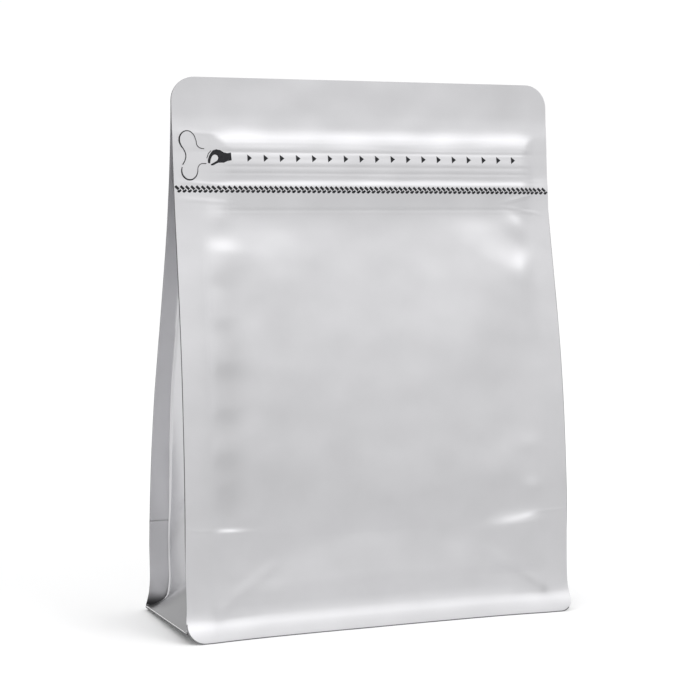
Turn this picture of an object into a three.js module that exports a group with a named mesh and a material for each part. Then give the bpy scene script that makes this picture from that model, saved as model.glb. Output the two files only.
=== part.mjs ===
// Flat bottom pouch of silver film, shut, standing on the sealed skirt round its foot.
// Millimetres, +Z up, front panel towards -Y, origin at the middle of the footprint.
import * as THREE from "three";
import { mergeVertices } from "three/addons/utils/BufferGeometryUtils.js";

// Panels
const PANEL_WIDTH = 190;
const PANEL_HEIGHT = 257;
const TOP_CORNER_R = 11;
const FOOT_CORNER_R = { front: 7, back: 3 };
const PILLOW = 2.5; // how far the middle of a panel swells

// Depth from front to back
const BODY_DEPTH = 75; // between the panels just above the skirt
const LEAN = 12.4; // the shut top stands this far in front of the foot's middle
const CLOSE_FROM_Z = 30; // the panels start to draw together here
const CLOSE_POWER = 1.05;
const HEADER_THICKNESS = 1;

// Seals
const SEAL_WIDTH = 9; // the fins down the four long edges
const SEAL_THICKNESS = 0.7;
const SLOT_SHUTS_Z = [222, 238]; // the folded gusset ends in the header between these

// Gussets: flat between the fins low down, and folded in to a crease further up
const FOLD_FROM_Z = { crease: 57, fin: 36.5 };
const FOLD_RUN_Z = [-3, 9]; // the fold opens over these heights round its start

// Skirt round the foot, open underneath
const SKIRT_HEIGHT = 14;
const SKIRT_FLARE = 2.5;
const SKIRT_SPREAD = 0.8; // to either side
// Side flaps, each from its value at the front to that at the back
const FLAP_OUT = [-0.6, 1.5]; // how far the free edge goes past the fins
const FLAP_EDGE_Z = [5.2, 1.6]; // the free edge falls from front to back
const FLAP_TOP_Z = [36, 5]; // and so does the bend into the gusset
const FLAP_SOFTNESS = 1;
const RIM = 1.2;
const RECESS = 9;
const RECESS_BOW = 0.8; // of its two ends

// Zip and tear strip across the front: [height, how far it stands out]
const ZIP_RELIEF = [
  [196, 0], [199, 0.15], [203, 0.9], [206, 1.5], [208.5, 1.5], [210.5, 1.0], [212, 0.9],
  [215, 1.0], [218, 1.0], [221.5, 0.9], [224.5, 1.0], [227, 0.8], [230.5, 0.1], [233, 0],
];
const ZIP_X = [-71, 85]; // the zip is crushed flat outside these
const ZIP_FADE = 5;
const BACK_ZIP_SHARE = 0.4;

// Rows up the pouch and columns across it
const ROW_Z = [
  0, 3, 6, 9, 12, 14, 17, 22, 30, 38, 48, 58, 68, 78, 88, 98, 108, 118, 128, 137, 146, 154,
  162, 170, 178, 185, 191, ...ZIP_RELIEF.map(([z]) => z), 238, 246, 252, 257,
];
const PANEL_COLUMNS = 14;
const FIN_SHARES = [0, 0.2, 0.55, 1]; // from a fin's free edge to its seam
const GUSSET_COLUMNS = [-0.9, -0.72, -0.52, -0.32, -0.14, 0, 0.14, 0.32, 0.52, 0.72, 0.9];

const smooth = THREE.MathUtils.smoothstep;
const lerp = THREE.MathUtils.lerp;
const half = PANEL_WIDTH / 2;

// How far the top has drawn shut at a height, 0 at the foot and 1 at the top edge.
function closing(z) {
  const u = THREE.MathUtils.clamp((z - CLOSE_FROM_Z) / (PANEL_HEIGHT - CLOSE_FROM_Z), 0, 1);
  return (1 - Math.cos(Math.PI * u ** CLOSE_POWER)) / 2;
}

function halfDepth(z) {
  return lerp(BODY_DEPTH / 2, HEADER_THICKNESS / 2, closing(z));
}

function middle(z) {
  return -LEAN * closing(z);
}

function skirt(z) {
  return Math.max(0, 1 - z / SKIRT_HEIGHT);
}

function zipRelief(x, z) {
  const above = ZIP_RELIEF.findIndex(([height]) => height >= z);
  if (above < 1) return 0;
  const [lowZ, low] = ZIP_RELIEF[above - 1];
  const [highZ, high] = ZIP_RELIEF[above];
  const shown = smooth(x, ZIP_X[0] - ZIP_FADE, ZIP_X[0]) * (1 - smooth(x, ZIP_X[1], ZIP_X[1] + ZIP_FADE));
  return lerp(low, high, (z - lowZ) / (highZ - lowZ)) * shown;
}

// The swell of a panel between its seals, over the skirt and under the zip.
function pillow(x, z) {
  const across = Math.max(0, 1 - (x / (half - SEAL_WIDTH)) ** 2);
  const up = smooth(z, SKIRT_HEIGHT, 70) * (1 - smooth(z, 120, ZIP_RELIEF[0][0]));
  return PILLOW * across * up;
}

// Foot and top of a panel's outline at x: straight, with a rounded corner at each end.
// side is -1 for the front panel and 1 for the back one.
function outline(x, v, side) {
  const drop = (r) => {
    const past = Math.max(0, Math.abs(x) - (half - r));
    return r - Math.sqrt(Math.max(0, r * r - past * past));
  };
  const foot = drop(side < 0 ? FOOT_CORNER_R.front : FOOT_CORNER_R.back);
  return lerp(foot, PANEL_HEIGHT - drop(TOP_CORNER_R), v);
}

function spreadAtFoot(x, z) {
  return x * (1 + (SKIRT_SPREAD / half) * skirt(z));
}

function panelPoint(x, v, side) {
  const z = outline(x, v, side);
  const relief = zipRelief(side < 0 ? x : -x, z) * (side < 0 ? 1 : BACK_ZIP_SHARE) + pillow(x, z);
  const out = halfDepth(z) + relief + SKIRT_FLARE * skirt(z);
  return new THREE.Vector3(spreadAtFoot(x, z), middle(z) + side * out, z);
}

// Height on a side flap, from its value at the front to that at the back.
function alongFlap([front, back], s) {
  return lerp(front, back, (s + 1) / 2);
}

// How far a gusset lies inside the plane of the fins' edges; s runs from -1, front, to 1, back.
// Its width stays that of the body, so its crease goes in as the panels draw together.
function gussetInset(s, z) {
  const reach = Math.abs(s);
  const start = lerp(FOLD_FROM_Z.crease, FOLD_FROM_Z.fin, reach);
  const depth = Math.sqrt(Math.max(0, (BODY_DEPTH / 2) ** 2 - halfDepth(z) ** 2));
  const open = smooth(z, start + FOLD_RUN_Z[0], start + FOLD_RUN_Z[1]);
  const wall = SEAL_WIDTH + depth * (1 - reach) * open;
  const [out, edge, top] = [FLAP_OUT, FLAP_EDGE_Z, FLAP_TOP_Z].map((ends) => alongFlap(ends, s));
  const flap = ((SEAL_WIDTH + out) * (z - edge)) / (top - edge) - out;
  return -FLAP_SOFTNESS * Math.log(Math.exp(-flap / FLAP_SOFTNESS) + Math.exp(-wall / FLAP_SOFTNESS));
}

// One station of a side, from the front fin's inner face over the gusset to the back fin's.
// spread is its place across the thickness of the header, where the slot has shut.
function sidePoint({ s, fin }, spread, v, sign) {
  const onFin = fin !== undefined;
  const foot = onFin ? outline(half - fin * SEAL_WIDTH, 0, s) : alongFlap(FLAP_EDGE_Z, s);
  const z = lerp(foot, PANEL_HEIGHT - TOP_CORNER_R, v);
  const open = 1 - smooth(z, ...SLOT_SHUTS_Z);
  const inset = onFin ? fin * SEAL_WIDTH : gussetInset(s, z);
  const inner = halfDepth(z) - SEAL_THICKNESS * open + SKIRT_FLARE * skirt(z);
  return new THREE.Vector3(
    sign * (onFin ? spreadAtFoot(half - inset * open, z) : half - inset * open),
    middle(z) + lerp(spread * halfDepth(z), s * inner, open),
    z,
  );
}

function sideStations() {
  const fin = (s, shares) => shares.map((share) => ({ s, fin: share }));
  return [
    ...fin(-1, FIN_SHARES),
    ...GUSSET_COLUMNS.map((s) => ({ s })),
    ...fin(1, [...FIN_SHARES].reverse()),
  ];
}

function panelColumns() {
  const seam = half - SEAL_WIDTH;
  const inner = Array.from({ length: PANEL_COLUMNS + 1 }, (_, i) => lerp(-seam, seam, i / PANEL_COLUMNS));
  const fin = FIN_SHARES.slice(0, -1).map((share) => half - share * SEAL_WIDTH);
  return [...fin.map((x) => -x), ...inner, ...fin.reverse()];
}

// The closed skin: rings of columns joined row by row, then capped at the top and underneath.
function pouchGeometry() {
  const columns = panelColumns();
  const stations = sideStations();
  const nPanel = columns.length;
  const nSide = stations.length;
  const nRing = 2 * (nPanel + nSide);
  const points = [];
  const faces = [];

  for (const z of ROW_Z) {
    const v = z / PANEL_HEIGHT;
    const spread = (i) => -1 + (2 * (i + 1)) / (nSide + 1);
    points.push(...columns.map((x) => panelPoint(x, v, -1)));
    points.push(...stations.map((s, i) => sidePoint(s, spread(i), v, 1)));
    points.push(...[...columns].reverse().map((x) => panelPoint(x, v, 1)));
    points.push(...stations.map((s, i) => sidePoint(s, spread(i), v, -1)).reverse());
  }
  const quad = (a, b, c, d) => faces.push([a, b, c], [a, c, d]);

  for (let row = 0; row + 1 < ROW_Z.length; row++) {
    for (let i = 0; i < nRing; i++) {
      const a = row * nRing + i;
      const b = row * nRing + ((i + 1) % nRing);
      quad(a, b, b + nRing, a + nRing);
    }
  }

  // Top edge: front to back, with the stations of the two ends fanned in.
  const top = (ROW_Z.length - 1) * nRing;
  const front = (i) => top + i;
  const back = (i) => top + nPanel + nSide + (nPanel - 1 - i);
  for (let i = 1; i + 2 < nPanel; i++) quad(front(i), front(i + 1), back(i + 1), back(i));
  const fan = (ring) => {
    for (let i = 1; i + 1 < ring.length; i++) faces.push([ring[0], ring[i], ring[i + 1]]);
  };
  const right = Array.from({ length: nSide }, (_, i) => top + nPanel + i);
  const left = Array.from({ length: nSide }, (_, i) => top + 2 * nPanel + nSide + i);
  fan([front(nPanel - 2), front(nPanel - 1), ...right, back(nPanel - 1), back(nPanel - 2)]);
  fan([back(1), back(0), ...left, front(0), front(1)]);

  // The fins' lower edges: outer face to inner face, up to each seam.
  const nFin = FIN_SHARES.length;
  for (let k = 0; k + 1 < nFin; k++) {
    const rightFront = [nPanel - 1 - k, nPanel + k];
    const rightBack = [nPanel + nSide - 1 - k, nPanel + nSide + k];
    const leftBack = [2 * nPanel + nSide - 1 - k, 2 * nPanel + nSide + k];
    const leftFront = [nRing - 1 - k, k];
    for (const [before, after] of [rightFront, rightBack, leftBack, leftFront]) {
      quad(before - 1, (after + 1) % nRing, after, before);
    }
  }

  // The rest of the foot ring gets a rim, the inside of the skirt and the bottom panel.
  const keep = [];
  for (let i = 0; i < nRing; i++) {
    const inPanel = (start) => i >= start + nFin - 1 && i <= start + nPanel - nFin;
    const inSide = (start) => i >= start + nFin - 1 && i <= start + nSide - nFin;
    if (inPanel(0) || inSide(nPanel) || inPanel(nPanel + nSide) || inSide(2 * nPanel + nSide)) keep.push(i);
  }
  const recessRow = ROW_Z.indexOf(RECESS);
  const drawIn = (p, by, z) => {
    const limit = half - SEAL_WIDTH - by - RECESS_BOW * ((2 * p.y) / BODY_DEPTH) ** 2;
    const x = THREE.MathUtils.clamp(p.x * (1 - by / half), -limit, limit);
    return new THREE.Vector3(x, p.y * (1 - (2 * by) / BODY_DEPTH), z);
  };
  const rim = points.length;
  points.push(...keep.map((i) => drawIn(points[i], RIM, points[i].z)));
  const ceiling = points.length;
  points.push(...keep.map((i) => drawIn(points[recessRow * nRing + i], 2 * RIM, RECESS)));
  keep.forEach((i, k) => {
    const next = (k + 1) % keep.length;
    quad(rim + k, rim + next, keep[next], i);
    quad(ceiling + k, ceiling + next, rim + next, rim + k);
  });
  const flat = keep.map((_, k) => new THREE.Vector2(points[ceiling + k].x, points[ceiling + k].y));
  for (const [a, b, c] of THREE.ShapeUtils.triangulateShape(flat, [])) {
    faces.push([ceiling + a, ceiling + c, ceiling + b]);
  }

  const geometry = new THREE.BufferGeometry();
  geometry.setAttribute("position", new THREE.Float32BufferAttribute(points.flatMap((p) => p.toArray()), 3));
  geometry.setIndex(faces.flat());
  const welded = mergeVertices(geometry, 1e-3);
  welded.computeVertexNormals();
  return welded;
}

const film = new THREE.MeshStandardMaterial({ color: 0xc6c8ca, roughness: 0.4, metalness: 0.85 });
const pouch = new THREE.Mesh(pouchGeometry(), film);
pouch.name = "pouch";

const part = new THREE.Group();
part.name = "flat_bottom_pouch";
part.add(pouch);
export default part;
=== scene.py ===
import math

import bpy
import numpy as np
from bpy.props import FloatProperty, FloatVectorProperty, PointerProperty
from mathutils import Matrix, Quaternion, Vector, noise


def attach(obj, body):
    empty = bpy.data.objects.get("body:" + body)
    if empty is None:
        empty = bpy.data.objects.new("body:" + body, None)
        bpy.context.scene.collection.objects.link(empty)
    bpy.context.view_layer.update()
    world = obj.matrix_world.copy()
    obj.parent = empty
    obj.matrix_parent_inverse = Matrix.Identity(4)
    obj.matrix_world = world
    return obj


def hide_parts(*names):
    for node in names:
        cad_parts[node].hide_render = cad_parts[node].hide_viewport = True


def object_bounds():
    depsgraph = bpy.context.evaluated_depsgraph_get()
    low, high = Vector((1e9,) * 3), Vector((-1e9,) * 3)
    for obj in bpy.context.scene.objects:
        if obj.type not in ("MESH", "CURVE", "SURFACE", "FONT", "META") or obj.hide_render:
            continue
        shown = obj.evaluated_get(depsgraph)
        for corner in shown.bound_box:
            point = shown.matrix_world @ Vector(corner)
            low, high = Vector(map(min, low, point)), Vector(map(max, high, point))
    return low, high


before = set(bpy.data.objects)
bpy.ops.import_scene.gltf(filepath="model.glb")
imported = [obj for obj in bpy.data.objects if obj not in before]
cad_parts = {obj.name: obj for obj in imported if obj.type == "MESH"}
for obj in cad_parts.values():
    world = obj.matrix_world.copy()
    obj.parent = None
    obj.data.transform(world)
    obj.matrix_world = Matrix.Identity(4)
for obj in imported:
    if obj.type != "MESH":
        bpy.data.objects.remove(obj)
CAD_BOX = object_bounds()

bl_info = {
    "name": "Flat bottom pouch",
    "version": (1, 0, 0),
    "blender": (4, 5, 0),
    "location": "3D View > Sidebar > Pouch",
    "description": "Film panels, gussets, print and studio for a shut flat bottom pouch of silver foil",
    "category": "Object",
}

MM = 0.001
BODY = "root"
NODE = "pouch"

# All measures in these tables are in millimetres.

# Front panel between its seals: height, and how far the film stands out there.
# It hangs a little hollow below, and the zip and the tear strip stand out above.
ZIP_PROFILE = (
    (0, -2.5), (10, -2.55), (14, -2.6), (24, -2.15), (44, -2.72), (64, -2.25), (75, -2.0), (105, -1.4),
    (150, -0.5), (160, -0.37), (175, -0.04), (187, 0.27), (191, 0.44), (193.3, 0.62), (195.3, 0.93),
    (204, 2.48), (206, 2.64), (207, 2.67), (208, 2.45), (209, 2.23), (210, 2.17), (211, 2.26), (212, 2.37),
    (213, 2.47), (214, 2.54), (215, 2.63), (216, 2.73), (217, 2.78), (218, 2.73), (220, 2.56), (222, 2.39),
    (223, 2.3), (224, 2.24), (225, 2.13), (226, 2.0), (227, 1.83), (228, 1.63), (229, 1.39), (230, 1.11),
    (231, 0.85), (232, 0.63), (233, 0.45), (234, 0.33), (235, 0.24), (236, 0.18), (238, 0.08), (240, 0),
    (257, 0),
)
# Grooves between the zip's tracks: height, depth and half width.
ZIP_GROOVES = ((222.5, 0.14, 0.6), (215.8, 0.15, 0.7), (212.7, 0.14, 0.55), (195.5, 0.1, 0.8))
# Ends of the zip, how softly it stops at each, and the share of it that still shows past them.
ZIP_ENDS = (-72.5, 84.0)
ZIP_FADES = (6.0, 4.5)
ZIP_PAST_ENDS = 0.15
# The zip stands out a little less at the left: its share there, and between which x that ends.
ZIP_LEFT_SHARE = 0.92
ZIP_LEFT_X = (-60, 0)
# Heights between which the loose panel turns into the zip, and the zip's tracks into its upper shoulder.
ZIP_FOOT_Z = (183, 195)
ZIP_SHOULDER_Z = (222, 225)
# At the zip's ends the shoulder drops this far and is softly held to a share of this relief.
SHOULDER_DROP = 2
SHOULDER_CAP = 2.75
SHOULDER_SOFT = 0.08
# Heights between which the fine streaks along the tracks start and stop.
STREAKS_START_Z = (207, 209)
STREAKS_STOP_Z = (226, 232)

# Flared skirt round the foot: height and how far it stands out.
SKIRT_PROFILE = (
    (0, 4.26), (2, 3.66), (4, 3.04), (6, 2.34), (8, 1.5), (10, 0.78), (12, 0.34), (14, 0.14), (17, 0.03),
    (20, 0),
)
# The front's skirt stands out by this share more at its left end, and less at its right end.
SKIRT_TWIST = 0.09
# Share of the skirt's flare on the back panel at its edges and in the middle, and how far from the edges
# the one turns into the other.
BACK_FLARE_SHARES = (0.1, 0.6)
BACK_FLARE_FADE = (24, 10)
# The back panel's lower corners turn out to the sides: how far, up to which height, and over which width.
BACK_CORNER_OUT = 1.7
BACK_CORNER_TOP = 9
BACK_CORNER_POWER = 1.5
BACK_CORNER_WIDTH = 9

# How much wider than the flat panel the pouch is to each side.
SIDE_SPREAD = (
    (0, 1.2), (8, 0.9), (16, 0.65), (34, 0.85), (47, 0.75), (74, 0.55), (104, 0.35), (140, 0),
    (185, -0.25), (230, 0),
)
# The foot's left part and its right end are pushed along x by this much, fading out between these heights.
FOOT_PUSH = (-0.8, 0.3)
FOOT_PUSH_Z = (2, 17)
# The right edge is drawn in round a height: how far, the height, its reach, and from which x on.
RIGHT_TUCK = 0.6
RIGHT_TUCK_Z = 195
RIGHT_TUCK_REACH = 45
RIGHT_FROM_X = 40

# Slow bow of the front and the back panel over their height, edges and all.
FRONT_BOW = (
    (0, -2.3), (12, -2.35), (20, -2.9), (28, -3.5), (36, -3.65), (47, -2.95), (61, -2.5), (74, -2.3),
    (90, -1.6), (104, -1.0), (118, -0.4), (131, 0.1), (150, 0.3), (165, 0.3), (181, 0.05), (195, -0.3),
    (210, -0.2), (235, 0), (245, -0.12), (257, -0.6),
)
BACK_BOW = (
    (0, 0.6), (10, 1.0), (19, 1.6), (31, 1.7), (43, 1.1), (61, 0.7), (109, 0.7), (140, 0.1), (235, 0),
    (245, 0.15), (257, 0.5),
)
# Height at which the panels start to draw together, how they do so, and half their gap at the top edge.
CLOSING_FROM = 30
CLOSING_POWER = 1.05
TOP_HALF_DEPTH = 0.5

# Puckers of the front panel: x, z, half width, reach above, reach below, turn in degrees and swell.
FRONT_PUCKERS = (
    (-74, 193, 6, 6, 5, 0, 0.5),
    (-73, 175.5, 9, 6, 16, -5, 1.25),
    (-78, 167, 6, 8, 5, 0, 0.3),
    (-76, 147.5, 7, 16, 6, 0, 1.1),
    (-75, 128, 9, 20, 7.5, 0, 1.6),
    (-76, 106.5, 8, 12, 6, 0, 1.1),
    (-76, 86, 8, 10, 7, 0, 1.1),
    (-76, 70.5, 7, 8, 5, 0, 0.5),
    (66, 166, 24, 13, 34, -33, 2.7),
    (77, 166, 6, 5, 8, 0, 0.5),
    (56, 184, 15, 6, 10, 0, 0.5),
    (77.5, 187, 8.5, 3.8, 5.2, -40, 1.25),
    (77, 82.5, 6, 4, 4, 0, 0.35),
    (77, 61.5, 6, 4, 6, 0, 0.9),
    (58, 69, 15, 20, 7, 0, 1.1),
    (67, 43, 14.5, 4.6, 30, 6, 2.1),
    (75, 46.5, 5, 2.4, 7, 12, 0.42),
    (40, 126, 20, 26, 60, 0, 1.3),
    (-46, 171, 16, 12, 20, 0, 1.0),
    (20, 68, 24, 20, 16, 0, 0.6),
    (-74.0, 48.4, 9, 1.5, 6, -2, 0.9),
    (-66, 54, 7, 2.6, 5, 12, 0.16),
    (-58, 57, 26, 35, 32, 0, -1.5),
)

# Dents and swells that reach over the seals and the skirt, given like the puckers.
SEAL_DENTS = (
    (81, 169, 5, 7.5, 30, 0, 0.7),
    (90, 206.2, 7, 3.0, 5.0, 0, 0.36),
    (78, 9.3, 13, 2.2, 6.5, 0, -0.32),
    (-72, 9.3, 12, 1.8, 5.5, 0, -0.2),
    (94, 1.5, 7, 6.5, 4, 0, 0.5),
    (-92, 1.0, 8, 6, 4, 0, 0.35),
)

# Creases of the front panel: from x, z to x, z, then width and swell.
FRONT_CREASES = (
    (-95, 51, -72, 49.4, 0.7, 0.08),
    (78, 49, 95, 49.6, 0.7, 0.08),
    (-83, 11, -50, 34, 3.0, 0.4),
    (84, 11, 50, 33, 3.0, 0.35),
    (82, 209.4, 98, 209.7, 0.6, 0.08),
    (70, 199, 85, 203, 0.9, 0.22),
    (70, 197, 90, 193.5, 0.8, 0.15),
    (-95, 232.0, -74, 230.4, 0.7, 0.06),
    (-94, 209, -68, 206.5, 0.8, 0.14),
    (-95, 201, -68, 199, 0.9, 0.09),
    (-73, 189, -71, 203, 0.8, 0.15),
)

# Creases fade out at their ends over this length at most.
CREASE_FADE = 6.0

# A shallow hollow arches over the front's foot: its crown's height, how far it has dropped at this x,
# its half height, its depth, and the x where it ends.
ARCH_CROWN = 46
ARCH_DROP = 30
ARCH_DROP_X = 80
ARCH_HALF_HEIGHT = 10
ARCH_DEPTH = 0.7
ARCH_END_X = 82

# Painted shade: share by which the front film's colour is darkened all over, and at the header's ends
# between these x and z.
FRONT_DARK = 0.028
HEADER_DARK = 0.045
HEADER_DARK_X = (20, 75)
HEADER_DARK_Z = (235, 242)
# Painted shade beside the left seal: share of the colour darkened, x, half width, and the heights between
# which it starts and stops.
LEFT_DARK = 0.1
LEFT_DARK_X = -75
LEFT_DARK_WIDTH = 9
LEFT_DARK_START_Z = (50, 62)
LEFT_DARK_STOP_Z = (160, 172)
# Smaller places of painted shade on the front film, given like the puckers, with the share darkened for the
# swell.
FRONT_PAINTED_SHADES = (
    (-48, 67, 16, 10, 10, 0, 0.05),
    (-82, 13, 2.2, 4, 2, 0, 0.08),
    (82, 10.5, 2, 3, 1.5, 0, 0.14),
    (75, 16, 8, 1.6, 1.6, -33, 0.08),
)

# How softly the loose film turns into the seals, inwards and outwards, how much softer it does so at the
# right, and between which heights over the skirt's top it starts.
LOOSE_IN = 2.4
LOOSE_OUT = 1.8
LOOSE_RIGHT = 2.2
LOOSE_FOOT = (-1, 6)

# Height of the fold across the back panel and its fins.
BACK_FOLD_Z = 43.7
# Creases of the back panel, given like the front's.
BACK_CREASES = (
    (-100, BACK_FOLD_Z, 100, BACK_FOLD_Z, 0.9, 0.25),
    (-81, 12, -50, 34, 2.0, 0.25),
    (81, 12, 50, 34, 2.0, 0.25),
)
# Puckers beside the back panel's seals: x, heights, and half width with the reach above and below.
BACK_PUCKER_X = 75
BACK_PUCKER_LEVELS = range(66, 196, 20)
BACK_PUCKER_SIZE = (7, 9, 5.5)
# How far each of them is moved along x and z, its swell and its turn in degrees are drawn between these.
BACK_PUCKER_DX = (-2, 1)
BACK_PUCKER_DZ = (-4, 4)
BACK_PUCKER_SWELL = (0.25, 0.7)
BACK_PUCKER_TURN = (-10, 10)
# The back panel shows this share of the zip, and swells this far, most at one height and not past another.
BACK_ZIP_SHARE = 0.3
BACK_SWELL = 2.0
BACK_SWELL_Z = 100
BACK_SWELL_TOP = 194

# Share of the film's slow waves on the seals, and the seeds of the waves and of the back's puckers.
SEAL_WAVES = 0.4
FRONT_SEED = 7.0
BACK_SEED = 31.0
GUSSET_SEED = 50.0
STREAK_SEED = 3.0
BACK_PUCKER_SEED = 11

# Radii of the panels' left and right lower corners.
FRONT_FOOT_R = (9.0, 6.0)
BACK_FOOT_R = (2.2, 2.2)
# Sides of the pouch: name, direction along x and radius of the front panel's lower corner.
SIDES = (("left", -1, FRONT_FOOT_R[0]), ("right", 1, FRONT_FOOT_R[1]))

# Side flaps, at the front and at the back: height of the free edge, how far it stands past the fins, and
# the heights at which the flap meets the wall and at which its valley is darkest.
FLAP_EDGE = (5.2, 2.3)
FLAP_OUT = (-0.6, 1.2)
FLAP_TOP = (36, 5.0)
FLAP_VALLEY = (34, 4.0)
# Power of the flap's rise, straight at the front and bowed at the back, and how softly it turns into the
# wall. Each has the front's value up to a share of the way from the middle to the back.
FLAP_POWER = (1.0, 0.5)
FLAP_POWER_FROM = 0.6
VALLEY_SOFT = (0.7, 2.0)
VALLEY_SOFT_FROM = 0.8
# A gusset stands at most this far past the fins. Beside a fin, from this share of the way out from its
# middle on, it stays this far inside the fin's edge.
MOST_OUT = 3.0
FIN_GAP = 0.05
FIN_GAP_FROM = 0.93
# The fins narrow to this share between these heights.
FIN_SHARE = 0.78
FIN_NARROWING_Z = (45, 125)
# A gusset's crease starts at this height at the fins, this much higher in the middle, and softly.
CREASE_START = 36.5
CREASE_RISE = 20.6
CREASE_SOFT = (-4, 13)
# A gusset swells out this far between the heights where it starts and stops.
BELLY = 1.2
BELLY_START_Z = (14, 30)
BELLY_STOP_Z = (45, 75)
# Bead along a gusset's seams: height low down and further up, the heights between them, its distance from
# the seam, its half width, and the heights between which it starts.
BEAD = (0.8, 0.3)
BEAD_Z = (90, 170)
BEAD_FROM_SEAM = 0.9
BEAD_WIDTH = 0.55
BEAD_START_Z = (2.4, 3.2)
# A gusset's flanges lie this many films inside the panels, and the back one starts this much higher up.
FLANGE_FILMS = 2.1
FLANGE_LIFT = 0.5
# A gusset's waves: share of the film's waves, the width they are drawn over, and where they start.
WAVE_SHARE = 0.8
WAVE_WIDTH = 30
WAVE_START_Z = (25, 60)
# The fold across the back fin: how far it stands out and its half width.
FOLD_LINE = 0.12
FOLD_LINE_WIDTH = 0.4

# Painted shade on the back fin: share of its colour darkened at its foot, ending slowly at one height and
# quickly at a lower one, and the share darkened on its fold, over this half width.
FIN_FOOT_DARK = 0.5
FIN_FOOT_SLOW_Z = (1.5, 24)
FIN_FOOT_SLOW_POWER = 1.5
FIN_FOOT_QUICK_Z = (3, 9.5)
FIN_FOLD_DARK = 0.4
FIN_FOLD_WIDTH = 0.35
# Painted shade over a gusset's crease: share of the colour darkened, how far under the crease's start, and
# its half height.
CREASE_DARK = 0.1
CREASE_DARK_DROP = 5
CREASE_DARK_HEIGHT = 5
# Painted shade in a flap's valley: share darkened, the valley's half height, and the share darkened on the
# flap under it.
VALLEY_DARK = 0.25
VALLEY_HEIGHT = 3
FLAP_DARK = 0.62
# Painted shade in a flap's back corner: share darkened, how far towards the back that starts, and the
# heights where it ends.
CORNER_DARK = 0.35
CORNER_DARK_FROM = 0.5
CORNER_DARK_Z = (3.5, 7)
# A fin begins this share of the way out from a gusset's middle.
FIN_FROM = 0.97

# Strips at the seals' cut edges, which also carry painted shadow and a painted highlight: thickness of the
# strips.
EDGE_THICKNESS = 0.2
# Dark strip down a front fin, its cut edge with a painted shadow of the gap beside it: from which height,
# how far past and inside the fin's edge, films behind the front, the heights between which it starts, and
# the share of it that is lost between heights further up.
FIN_EDGE_FROM = 33
FIN_EDGE = (-0.3, 0.6)
FIN_EDGE_FILMS = 1.3
FIN_EDGE_START_Z = (30, 50)
FIN_EDGE_LOSS = 0.85
FIN_EDGE_LOSS_Z = (180, 210)
# Dark strip along the front foot, its cut edge with a painted contact shadow: how far inside the film's
# edge it lies, and how far in front of the film.
FOOT_EDGE = (0.08, 0.46)
FOOT_EDGE_OUT = 0.08
# Pale strip on a flap's free edge, the pale inner film with a painted highlight, and under it a dark strip
# of
# painted shadow in the gap: heights over the edge, and how far out.
PALE_EDGE = (-0.25, 0.05)
PALE_EDGE_OUT = 0.25
FLAP_GAP_SHADOW = (-1.2, -0.25)
FLAP_GAP_SHADOW_OUT = 0.0

# Bottom panel: x of its sides and corners inside the panel's edge, its height, and the rise of its fold.
BOTTOM_SIDE = 13
BOTTOM_CORNER = 1.6
BOTTOM_Z = 11.0
BOTTOM_FOLD = 2.0
BOTTOM_FOLD_WIDTH = 0.05
# It ends this far from the front and the back at this height, and its rim lies this many films inside.
BOTTOM_MEETS_Z = 12.0
BOTTOM_GAPS = (5, 3)
RIM_FILMS = 2.2
# Its rim starts at this share of the way out and turns into the corners from a share of the way to them.
# It lies this far under the flaps and over the skirt's foot, no lower than this, and ends this far past the
# sides.
RIM_FROM = 0.86
RIM_CORNER_FROM = 0.85
RIM_UNDER_FLAP = 0.8
RIM_OVER_FOOT = 0.2
RIM_LOWEST = 0.1
RIM_OUT = 0.6

# Die-cut line round the pull tab: x, z and the weight of the line.
TAB_CUT_UPPER = (
    (-80.2, 223.9, 0.7), (-81.9, 224.2, 0.7), (-83.4, 225.3, 0.7), (-84.0, 227.9, 0.6),
    (-85.6, 231.0, 0.7), (-88.2, 232.1, 0.8), (-90.9, 230.6, 1.1), (-91.8, 227.8, 1.3),
    (-91.1, 225.4, 1.1), (-89.7, 223.3, 0.8), (-88.9, 220.9, 0.8), (-89.4, 218.4, 0.8),
    (-90.5, 216.5, 0.9),
)
TAB_CUT_LOWER = (
    (-90.8, 215.4, 0.8), (-91.0, 213.2, 1.1), (-89.8, 210.7, 1.3), (-87.2, 209.6, 1.2),
    (-84.7, 210.8, 0.9), (-83.6, 213.0, 0.7), (-83.2, 215.5, 0.6), (-82.1, 216.8, 0.6),
    (-79.4, 217.1, 0.7),
)
TAB_CUT_RADIUS = 0.3
TAB_CUT_LIFT = 0.02

# Pinching hand: x, and z over the sign's middle, of the outer and the inner line of thumb and finger.
SIGN_Z = 219.5
HAND_OUTSIDE = (
    (-78.6, -2.1), (-78.6, -0.7), (-78.0, 1.1), (-77.1, 2.6), (-76.1, 3.7), (-74.6, 4.2),
    (-72.8, 3.8), (-71.3, 2.8), (-71.3, -2.0), (-73.8, -2.0), (-74.9, -2.5), (-76.1, -3.2),
    (-77.1, -3.3),
)
HAND_INSIDE = (
    (-77.6, -2.4), (-77.4, -1.1), (-77.1, -0.1), (-76.5, 1.1), (-75.7, 1.7), (-74.9, 1.7),
    (-74.2, 1.3), (-73.8, 0.4), (-74.0, -0.5), (-74.6, -1.2), (-75.6, -1.8), (-76.5, -2.3),
    (-77.3, -2.7),
)
SLEEVE = (
    ((-71.3, 2.8), (-69.8, 2.4), (-69.6, -1.2), (-71.3, -2.0)),
    ((-69.8, 2.4), (-67.9, 2.7), (-67.8, -0.9), (-69.6, -1.2)),
)
SECOND_FINGER = (((-76.9, 3.6), (-78.3, 2.2)), ((-78.2, 2.3), (-79.1, 0.0)))
FINGER_WIDTH = 0.32

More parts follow.
